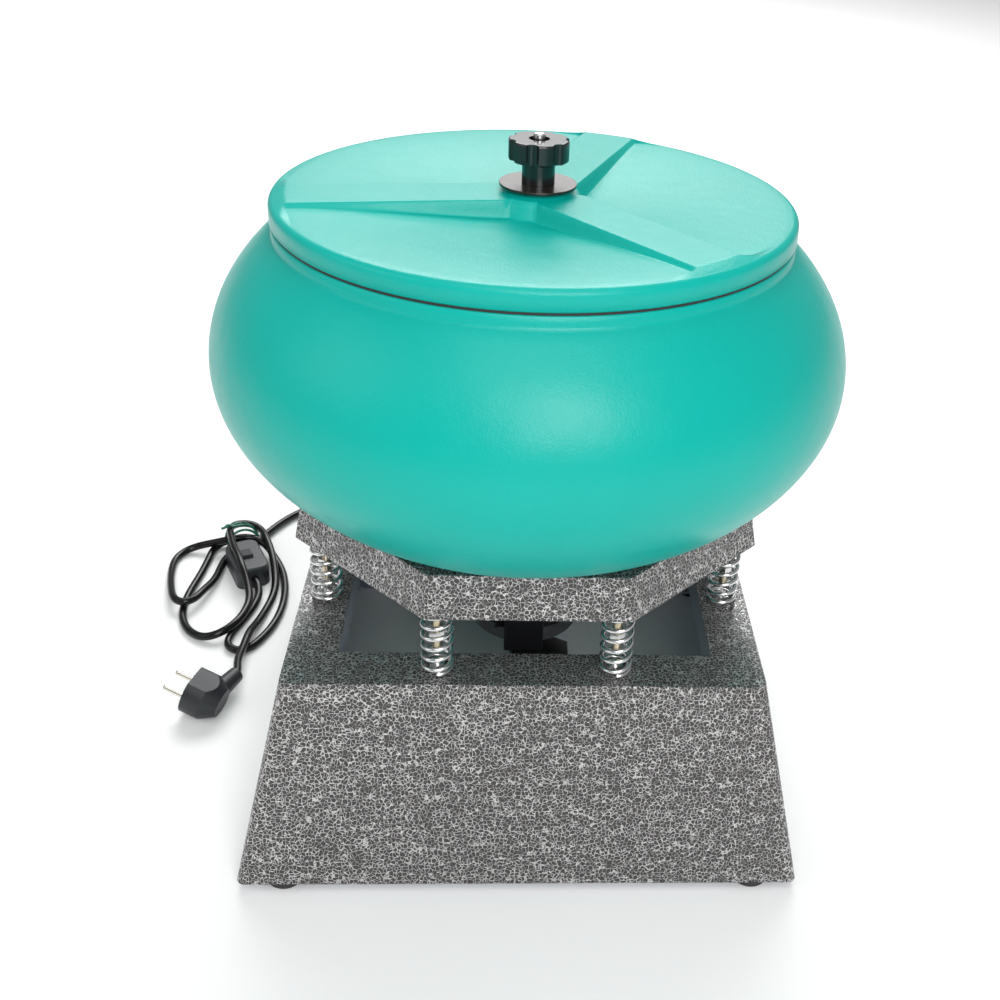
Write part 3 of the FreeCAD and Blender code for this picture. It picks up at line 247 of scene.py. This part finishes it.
cord_line.points.add(len(cord_route) - 1)
for point, spot in zip(cord_line.points, cord_route):
    point.co = (*spot, 1)
cord_line.order_u = 3
cord_line.use_endpoint_u = True
cord_curve.resolution_u = 8
cord_curve.bevel_depth = cord_diameter / 2
cord_curve.bevel_resolution = 5
cord_curve.use_fill_caps = True
cord = bpy.data.objects.new("mains_cord", cord_curve)
bpy.context.scene.collection.objects.link(cord)
cord_finish, start, place, link = new_finish(
    "cord_pvc", Specular_IOR_Level=0.2, Coat_Weight=0.15, Coat_Roughness=0.06
)
smear = start.node("TexNoise", sockets={"Vector": place, "Scale": 160.0, "Detail": 3.0})
fine = start.node("TexNoise", sockets={"Vector": place, "Scale": 2200.0})
link(
    {
        "Base Color": smear.mix((0.004, 0.004, 0.005), (0.010, 0.010, 0.011)),
        "Roughness": smear * 0.16 + 0.14,
    },
    [(fine, 0.00003)],
)
cord_curve.materials.append(cord_finish)
put_on(cord_finish, "internal_lead")
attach(cord, "base")
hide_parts("cord_run_in", "cord_hank", "cord_tail")


# ---- tie ------------------------------------------------------------------------------------------
# Thin steel wire in a green plastic skin, passed round the strands and left with two short ends on top.
# It is bent by hand, so its turns are a little uneven. Points are millimetres from the knot's middle.

tie_middle = Vector((-0.2725, 0.2385, 0.0))
tie_heading = Matrix.Rotation(math.radians(115.0), 4, "Z")
tie_curve = bpy.data.curves.new("green_tie", "CURVE")
tie_curve.dimensions = "3D"
tie_curve.bevel_depth = 0.0012
tie_curve.bevel_resolution = 3
tie_curve.resolution_u = 6
tie_loops = [
    [
        (-4, -4, 14), (-5, 10, 1.6), (-3, -10, 1.4), (-5, -15, 10), (-4, -9, 21), (-5, 2, 26.5), (-6, 14, 22),
        (-3, 17, 9), (0, 10, 1.2), (2, -9, 1.6), (4, -15.5, 9), (4, -11, 20.5), (3, -2, 26), (2, 6, 27),
        (1, 9, 27.5),
    ],
    [
        (6, -9, 21), (7, 0, 26.5), (5, 9, 27.8), (7, 14, 21), (6, 17, 10), (5, 10, 1.9), (6, -8, 1.9),
        (7, -15, 9), (6, -10, 21.5), (5, -1, 27.5),
    ],
    [(1, 9, 27.5), (3, 12, 29.5), (1, 14.5, 28.5), (3.5, 16.5, 27)],
    [(4, 7, 27), (1.5, 11, 28.5), (4, 14, 29), (2, 17, 27), (5, 19, 25.5)],
]
for loop in tie_loops:
    strand = tie_curve.splines.new("NURBS")
    strand.points.add(len(loop) - 1)
    for point, (x, y, z) in zip(strand.points, loop):
        point.co = (*(tie_middle + (tie_heading @ Vector((x, y, z)) * 0.001)), 1)
    strand.order_u = 3
    strand.use_endpoint_u = True
tie = bpy.data.objects.new("green_tie", tie_curve)
bpy.context.scene.collection.objects.link(tie)
tie_finish, start, place, link = new_finish("tie_plastic", Coat_Weight=0.4, Coat_Roughness=0.1)
wear = start.node("TexNoise", sockets={"Vector": place, "Scale": 260.0})
link({"Base Color": wear.mix((0.0, 0.06, 0.035), (0.01, 0.20, 0.115)), "Roughness": wear * 0.2 + 0.2})
tie_curve.materials.append(tie_finish)
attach(tie, "base")
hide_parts("twist_tie")


# ---- switch, plug and gland -----------------------------------------------------------------------
# Moulded black fittings on the cord: the rocker switch, the angled plug with its two pins and two dark
# earth strips, and the nylon gland whose cap tapers into a strain relief. Their edges are softened.


def softened(name, body, finish, width, steps=2, sharp=30.0):
    """Finer copy of a CAD node that stands for it: its doubles merged and its sharp edges rounded."""
    shape = bmesh.new()
    shape.from_mesh(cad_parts[name].data)
    bmesh.ops.remove_doubles(shape, verts=shape.verts, dist=1e-5)
    bmesh.ops.dissolve_limit(shape, angle_limit=math.radians(0.6), verts=shape.verts, edges=shape.edges)
    data = bpy.data.meshes.new(name + "_fine")
    shape.to_mesh(data)
    shape.free()
    data.shade_smooth()
    data.materials.append(finish)
    piece = bpy.data.objects.new(name + "_fine", data)
    bpy.context.scene.collection.objects.link(piece)
    bevel = piece.modifiers.new("round", "BEVEL")
    bevel.width = width
    bevel.segments = steps
    bevel.limit_method = "ANGLE"
    bevel.angle_limit = math.radians(sharp)
    bevel.use_clamp_overlap = True
    bevel.harden_normals = False
    even = piece.modifiers.new("even", "WEIGHTED_NORMAL")
    even.keep_sharp = False
    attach(piece, body)
    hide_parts(name)
    return piece


def moulded(name, dark, light, roughness, grain_size, grain_depth, **constants):
    """Moulded plastic or rubber: a little colour change, uneven sheen and a fine grain."""
    finish, start, place, link = new_finish(name, **constants)
    cloud = start.node("TexNoise", sockets={"Vector": place, "Scale": 45.0, "Detail": 4.0})
    grain = start.node("TexNoise", sockets={"Vector": place, "Scale": 1.0 / grain_size, "Detail": 2.0})
    link(
        {"Base Color": cloud.mix(dark, light), "Roughness": cloud * 0.16 + (roughness - 0.08)},
        [(grain, grain_depth)],
    )
    return finish


switch_finish = moulded(
    "switch_plastic", (0.020, 0.024, 0.026), (0.036, 0.042, 0.045), 0.42, 0.0009, 0.00006
)
plug_finish = moulded("plug_pvc", (0.008, 0.010, 0.012), (0.016, 0.019, 0.023), 0.45, 0.0008, 0.00005)
switch_case = softened("switch_body", "base", switch_finish, 0.0006)
put_on(switch_finish, "switch_rocker")
softened("gland_body", "base", switch_finish, 0.0004)
softened("gland_cap", "base", switch_finish, 0.0004)
softened("gland_locknut", "base", switch_finish, 0.0004)
plug_case = softened("plug_body", "base", plug_finish, 0.0010, 3)
pin_finish, start, place, link = new_finish("pin_nickel", Metallic=1.0)
scuff = start.node("TexNoise", sockets={"Vector": place, "Scale": 700.0, "Detail": 3.0})
link({"Base Color": scuff.mix((0.62, 0.59, 0.52), (0.8, 0.78, 0.72)), "Roughness": scuff * 0.25 + 0.12})
put_on(pin_finish, "plug_pins")
put_on(plug_finish, "plug_earth_contacts")


# ---- base and platform ----------------------------------------------------------------------------
# Folded sheet steel, stoved in hammertone enamel: dark rounded flecks in a net of light metallic veins.
# The base is a truncated pyramid with an opening in its top, and the platform an eight-sided pan.

hammertone, start, place, link = new_finish("hammertone_enamel", Coat_Roughness=0.14)
fleck_size = 0.0027
drift = start.node("TexNoise", sockets={"Vector": place, "Scale": 0.55 / fleck_size, "Detail": 1.0}, output=1)
pushed = start.node("VectorMath", {"operation": "MULTIPLY_ADD"}, {0: drift, 1: (0.0044,) * 3, 2: place})
net = start.node(
    "TexVoronoi",
    {"feature": "DISTANCE_TO_EDGE"},
    {"Vector": pushed, "Scale": 1.0 / fleck_size, "Randomness": 0.85},
)
swell = start.node("TexNoise", sockets={"Vector": place, "Scale": 0.42 / fleck_size, "Detail": 1.5})
vein = 1 - (net + (swell - 0.5) * 0.14).clear(0.02, 0.105)
core = (net + (swell - 0.5) * 0.2).clear(0.2, 0.5)
dust = start.node("TexNoise", sockets={"Vector": place, "Scale": 3.2 / fleck_size, "Detail": 2.0})
fleck_colour = core.mix((0.026, 0.023, 0.022), (0.050, 0.046, 0.045))
vein_colour = dust.clear(0.3, 0.7).mix((0.42, 0.41, 0.41), (0.74, 0.73, 0.72))
# The inside of the base is smooth grey primer, its colour made lighter as painted light for the light that
# comes in through the opening. It lies under the top and within the outer faces.
ends = start.node("SeparateXYZ", sockets={0: place})
side = start.node("SeparateXYZ", sockets={0: place}, output=1)
level = start.node("SeparateXYZ", sockets={0: place}, output=2)
ends = ends.maths("ABSOLUTE", ends, 0.0)
side = ends.maths("ABSOLUTE", side, 0.0)
reach = ends.maths("MAXIMUM", ends, side)
across = ends.maths("MINIMUM", ends, side)
base_top_half, base_top_level, base_slope = 0.1625, 0.156, 0.2196
outer_half = (base_top_level - level) * base_slope + base_top_half
# Half a sheet's thickness in from the outer faces, and clear of the rounded corners.
half_sheet, corner_clear, opening_half = 0.0008, 0.0065, 0.125
inner = reach.maths("LESS_THAN", reach, outer_half - half_sheet)
inner = inner * across.maths("LESS_THAN", across, outer_half - corner_clear)
inner = inner * level.maths("LESS_THAN", level, base_top_level - 0.0011)
inner = inner * reach.maths("GREATER_THAN", reach, opening_half)
outer = 1 - inner
link(
    {
        # inner faces: grey primer, lightened as painted light for the light through the opening
        "Base Color": inner.mix(vein.mix(fleck_colour, vein_colour), (0.40, 0.43, 0.50)),
        "Roughness": 0.48 - vein * outer * 0.16,
        "Metallic": vein * outer * 0.85,
        "Coat Weight": outer * 0.3,
    },
    [(vein * outer, 0.00022)],
)
softened("base_housing", "base", hammertone, 0.0011, 3)
softened("platform", "platform", hammertone, 0.0011, 3)


# ---- feet, springs and fasteners ------------------------------------------------------------------
# Rubber feet screwed under the base, eight plated springs each held by a bolt below and a stud above,
# and bright zinc-plated screws, nuts and washers throughout.

rubber = moulded("rubber", (0.010, 0.010, 0.010), (0.022, 0.022, 0.022), 0.6, 0.0012, 0.00008)
softened("base_feet", "base", rubber, 0.0008)
put_on(rubber, "lid_gasket")
zinc, start, place, link = new_finish("bright_zinc", Metallic=1.0)
bloom = start.node("TexNoise", sockets={"Vector": place, "Scale": 320.0, "Detail": 4.0})
brush = start.node("TexNoise", sockets={"Vector": place, "Scale": 1500.0, "Detail": 2.0})
link(
    {"Base Color": bloom.mix((0.60, 0.60, 0.61), (0.82, 0.82, 0.80)), "Roughness": bloom * 0.3 + 0.12},
    [(brush, 0.00002)],
)
yellow_zinc, start, place, link = new_finish("yellow_zinc", Metallic=1.0)
bloom = start.node("TexNoise", sockets={"Vector": place, "Scale": 200.0, "Detail": 4.0})
link({"Base Color": bloom.mix((0.50, 0.42, 0.26), (0.74, 0.68, 0.52)), "Roughness": bloom * 0.3 + 0.15})
put_on(
    zinc,
    "foot_screws", "foot_nuts", "lower_spring_bolts", "lower_spring_nuts", "upper_spring_nuts", "stud_nuts",
    "bowl_washer", "bowl_nut", "knob_insert", "motor_spacers", "motor_bolts", "motor_nuts", "capacitor_screw",
    "centre_stud",
)
put_on(yellow_zinc, "upper_spring_studs")
spring_plate, start, place, link = new_finish("spring_plating", Metallic=1.0)
drawn = start.node("TexNoise", sockets={"Vector": place, "Scale": 420.0, "Detail": 3.0})
link({"Base Color": drawn.mix((0.66, 0.66, 0.67), (0.88, 0.88, 0.88)), "Roughness": drawn * 0.22 + 0.08})
for node in ("springs_front", "springs_right", "springs_back", "springs_left"):
    coil = bmesh.new()
    coil.from_mesh(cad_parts[node].data)
    bmesh.ops.remove_doubles(coil, verts=coil.verts, dist=1e-5)
    data = bpy.data.meshes.new(node + "_fine")
    coil.to_mesh(data)
    coil.free()
    data.shade_smooth()
    data.materials.append(spring_plate)
    piece = bpy.data.objects.new(node + "_fine", data)
    bpy.context.scene.collection.objects.link(piece)
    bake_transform(piece)
    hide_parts(node)


# ---- bowl -----------------------------------------------------------------------------------------
# Rotationally moulded polypropylene: a deep round bowl with a short neck, and a hollow cone inside that
# the stud passes through. One closed wall, turned round the stud, with a satin, slightly pebbled skin.

teal, start, place, link = new_finish("teal_polypropylene", Specular_IOR_Level=0.28)
pebble = start.node("TexNoise", sockets={"Vector": place, "Scale": 620.0, "Detail": 2.0, "Roughness": 0.55})
patch = start.node("TexNoise", sockets={"Vector": place, "Scale": 7.0, "Detail": 3.0})
flow = start.node("TexNoise", sockets={"Vector": place, "Scale": 60.0, "Detail": 3.0})
link(
    {"Base Color": patch.mix((0.000, 0.35, 0.295), (0.001, 0.42, 0.36)), "Roughness": flow * 0.12 + 0.28},
    [(pebble, 0.00016), (flow, 0.0003)],
)


def turned(outline, steps=192):
    """Closed shape spun from an outline of (radius, height) points in metres, in order round the wall."""
    shape = bmesh.new()
    points = [shape.verts.new((radius, 0, height)) for radius, height in outline]
    for here, after in zip(points, points[1:] + points[:1]):
        shape.edges.new((here, after))
    bmesh.ops.spin(
        shape,
        geom=shape.verts[:] + shape.edges[:],
        cent=(0, 0, 0),
        axis=(0, 0, 1),
        angle=2 * math.pi,
        steps=steps,
        use_merge=True,
    )
    bmesh.ops.recalc_face_normals(shape, faces=shape.faces)
    return shape


def shown(shape, name, body, finish):
    """Object of a finished bmesh, shaded smooth, riding on a body."""
    data = bpy.data.meshes.new(name)
    shape.to_mesh(data)
    shape.free()
    data.shade_smooth()
    data.materials.append(finish)
    piece = bpy.data.objects.new(name, data)
    bpy.context.scene.collection.objects.link(piece)
    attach(piece, body)
    return piece


def arc(middle, semi_axes, first, last, count):
    """Points along a quarter or less of an ellipse, by angle in degrees from the horizontal."""
    spots = []
    for i in range(count + 1):
        angle = math.radians(first + (last - first) * i / count)
        spots.append((middle[0] + semi_axes[0] * math.cos(angle), middle[1] + semi_axes[1] * math.sin(angle)))
    return spots


bowl_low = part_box("bowl")[0]
bowl_middle = (0.0, bowl_low[2] + 0.0925)
# From the flat bottom up the outside to the neck, over the rim, down inside, and up and down the cone.
bowl_outline = [(0.0045, bowl_low[2] + 0.0001), (0.060, bowl_low[2] + 0.0001)]
bowl_outline += arc(bowl_middle, (0.2204, 0.1337), -43.3, 0, 22)[1:]
bowl_outline += arc(bowl_middle, (0.2204, 0.141), 0, 36.5, 18)[1:]
bowl_outline += [(0.1752, 0.4168), (0.1750, 0.4192), (0.1749, 0.4242)]
bowl_outline += [(0.1742, 0.4249), (0.1692, 0.4249), (0.1686, 0.4242), (0.1685, 0.4140)]
bowl_outline += arc(bowl_middle, (0.2154, 0.136), 37.5, 0, 12)
bowl_outline += arc(bowl_middle, (0.2154, 0.1287), 0, -70, 18)[1:]
bowl_outline += [(0.058, bowl_low[2] + 0.012), (0.052, bowl_low[2] + 0.022)]
bowl_outline += [(0.0262, 0.3325), (0.0235, 0.3366), (0.0200, 0.3374), (0.0045, 0.3374)]
bowl_outline += [(0.0045, 0.3325), (0.0200, 0.3325), (0.0475, bowl_low[2] + 0.022)]
bowl_outline += [(0.0500, bowl_low[2] + 0.0052), (0.0045, bowl_low[2] + 0.0052)]
bowl = shown(turned(bowl_outline), "bowl_wall", "platform", teal)
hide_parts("bowl")


# ---- lid ------------------------------------------------------------------------------------------
# Moulded in the same teal plastic: a dished disc with a thick round edge and three raised flat arms that
# run from the hub almost to the rim. It drops inside the neck and is clamped down by the knob's disc.

lid_radius = 0.1756
lid_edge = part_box("lid")[1][2] - 0.0037 - 0.003
lid_under = lid_edge - 0.0141
arm_turn = math.radians(70.0)
arm_step = math.radians(120.0)
arm_top_half = 0.0188
arm_foot_half = 0.0232
arm_flat_half = 0.0175
top_columns, arm_columns = 0.08, 0.34
dish_depth = 0.0090
lid_skin = 0.0035
# Outline from the stud's hole out over the top, round the edge, and back along the underside.
lid_outline = [(0.0052, lid_edge)]
lid_outline += [(0.012 + 0.0022 * i, lid_edge) for i in range(71)]
lid_outline += arc((0.1711, lid_edge - 0.0045), (0.0045, 0.0045), 88, 0, 6)
lid_outline += [(lid_radius, lid_under + 0.001), (lid_radius - 0.001, lid_under)]
lid_outline += [(0.1675, lid_under), (0.1675, lid_under - 0.0082)]
lid_outline += [(0.1669, lid_under - 0.009), (0.1652, lid_under - 0.009)]
lid_outline += [(0.1645, lid_under - 0.0084), (0.1642, lid_under), (0.1625, lid_edge - lid_skin - 0.003)]
lid_outline += [(0.156 - 0.004 * i, lid_edge - lid_skin) for i in range(37)]
lid_outline += [(0.0052, lid_edge - lid_skin)]
lid_shape = turned(lid_outline, 432)


def ease(value, low, high):
    """0 below low, 1 above high, and a smooth climb between."""
    share = min(max((value - low) / (high - low), 0.0), 1.0)
    return share * share * (3 - 2 * share)


for corner in lid_shape.verts:
    radius = math.hypot(corner.co.x, corner.co.y)
    if radius > 0.1705 or corner.co.z < lid_under + 0.0005:
        continue
    # Columns of the turned grid are moved so that some of them run along the arms' sides.
    angle = math.atan2(corner.co.y, corner.co.x) - arm_turn
    nearest = round(angle / arm_step)
    offset = angle - nearest * arm_step
    held = max(radius, 0.031)
    side = math.asin(min(arm_foot_half / held, 0.8))
    share = abs(offset) / (arm_step / 2)
    if share < top_columns:
        across = arm_flat_half * share / top_columns
        bent = math.asin(min(across / held, 0.85))
    elif share < arm_columns:
        on_side = (share - top_columns) / (arm_columns - top_columns)
        across = arm_flat_half + (arm_foot_half - arm_flat_half) * on_side
        bent = math.asin(min(across / held, 0.85))
    else:
        bent = side + (arm_step / 2 - side) * (share - arm_columns) / (1 - arm_columns)
        across = held * math.sin(min(bent, math.pi / 2))
    bent = math.copysign(bent, offset)
    heading = arm_turn + nearest * arm_step + bent
    corner.co.x = radius * math.cos(heading)
    corner.co.y = radius * math.sin(heading)
    # Height of the dish, of the arms over it, and of the hub over both.
    dish = dish_depth * (1 - ease(radius, 0.020, 0.166) ** 0.8)
    on_arm = 1 - ease(across, arm_top_half, arm_foot_half)
    on_arm *= 1 - ease(radius, 0.1655, 0.1700)
    on_hub = 1 - ease(radius, 0.0275, 0.0325)
    raised = max(on_arm, on_hub) * (dish + 0.0030)
    boss = 0.0037 * (1 - ease(radius, 0.0215, 0.0235))
    corner.co.z += raised - dish + boss
lid_wall = shown(lid_shape, "lid_wall", "lid", teal)
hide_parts("lid")


# ---- clamp disc and knob --------------------------------------------------------------------------
# Blackened steel disc, and a glossy black moulded hand knob with seven lobes and a recess in its top.
# The steel insert inside the knob has the zinc finish of the other fasteners.

black_steel, start, place, link = new_finish(
    "blackened_steel", Metallic=0.6, Coat_Weight=0.5, Coat_Roughness=0.08
)
rub = start.node("TexNoise", sockets={"Vector": place, "Scale": 240.0, "Detail": 4.0})
link({"Base Color": rub.mix((0.020, 0.013, 0.011), (0.045, 0.034, 0.030)), "Roughness": rub * 0.2 + 0.2})
softened("clamp_disc", "clamp_disc", black_steel, 0.0004)
put_on(black_steel, "weight_set_screws")
knob_plastic = moulded(
    "knob_plastic", (0.004, 0.0045, 0.005), (0.010, 0.011, 0.012), 0.24, 0.0009, 0.00003, Coat_Weight=0.3
)
softened("knob", "knob", knob_plastic, 0.0014, 4)


# ---- motor and its fittings -----------------------------------------------------------------------
# Vertical induction motor in black enamel between cast end bells, its iron weights at the shaft's ends,
# the capacitor hung in front of it, and the terminal box behind.

motor_enamel, start, place, link = new_finish("motor_enamel", Coat_Weight=0.2)
skin = start.node("TexNoise", sockets={"Vector": place, "Scale": 500.0, "Detail": 2.0})
film = start.node("TexNoise", sockets={"Vector": place, "Scale": 40.0, "Detail": 3.0})
link(
    {"Base Color": film.mix((0.012, 0.012, 0.013), (0.026, 0.026, 0.028)), "Roughness": film * 0.2 + 0.3},
    [(skin, 0.00008)],
)
put_on(motor_enamel, "motor_housing", "capacitor_bracket", "terminal_box")
cast, start, place, link = new_finish("cast_aluminium", Metallic=1.0)
sand = start.node("TexNoise", sockets={"Vector": place, "Scale": 900.0, "Detail": 3.0})
tone = start.node("TexNoise", sockets={"Vector": place, "Scale": 60.0, "Detail": 3.0})
link(
    {"Base Color": tone.mix((0.30, 0.30, 0.31), (0.46, 0.46, 0.47)), "Roughness": tone * 0.2 + 0.4},
    [(sand, 0.0002)],
)
put_on(cast, "upper_end_bell", "lower_end_bell")
iron, start, place, link = new_finish("weight_iron", Metallic=0.2)
rough = start.node("TexNoise", sockets={"Vector": place, "Scale": 420.0, "Detail": 5.0})
link(
    {"Base Color": rough.mix((0.010, 0.010, 0.011), (0.026, 0.025, 0.026)), "Roughness": rough * 0.3 + 0.4},
    [(rough, 0.0002)],
)
softened("lower_weight", "rotor", iron, 0.0010, 2)
softened("upper_weight", "rotor", iron, 0.0010, 2)
case_plastic = moulded("capacitor_case", (0.006, 0.006, 0.007), (0.014, 0.014, 0.016), 0.4, 0.0010, 0.00005)
softened("capacitor", "platform", case_plastic, 0.0006)
laminate, start, place, link = new_finish("laminated_core", Metallic=0.9)
layers = start.node("TexWave", {"bands_direction": "Z"}, {"Vector": place, "Scale": 320.0, "Distortion": 0.2})
link(
    {"Base Color": layers.mix((0.10, 0.10, 0.11), (0.32, 0.32, 0.34)), "Roughness": layers * 0.2 + 0.35},
    [(layers, 0.0001)],
)
put_on(laminate, "stator_core", "rotor_core")
copper, start, place, link = new_finish("copper_winding", Metallic=0.9, Coat_Weight=0.4)
turns = start.node("TexWave", {"bands_direction": "Z"}, {"Vector": place, "Scale": 260.0, "Distortion": 3.0})
link(
    {"Base Color": turns.mix((0.22, 0.07, 0.03), (0.60, 0.26, 0.12)), "Roughness": turns * 0.2 + 0.3},
    [(turns, 0.0002)],
)
put_on(copper, "motor_windings")
ground, start, place, link = new_finish("ground_steel", Metallic=1.0)
lay = start.node("TexNoise", sockets={"Vector": place, "Scale": 800.0, "Detail": 2.0})
link({"Base Color": lay.mix((0.55, 0.55, 0.56), (0.75, 0.75, 0.76)), "Roughness": lay * 0.15 + 0.15})
put_on(ground, "motor_shaft", "motor_bearings")
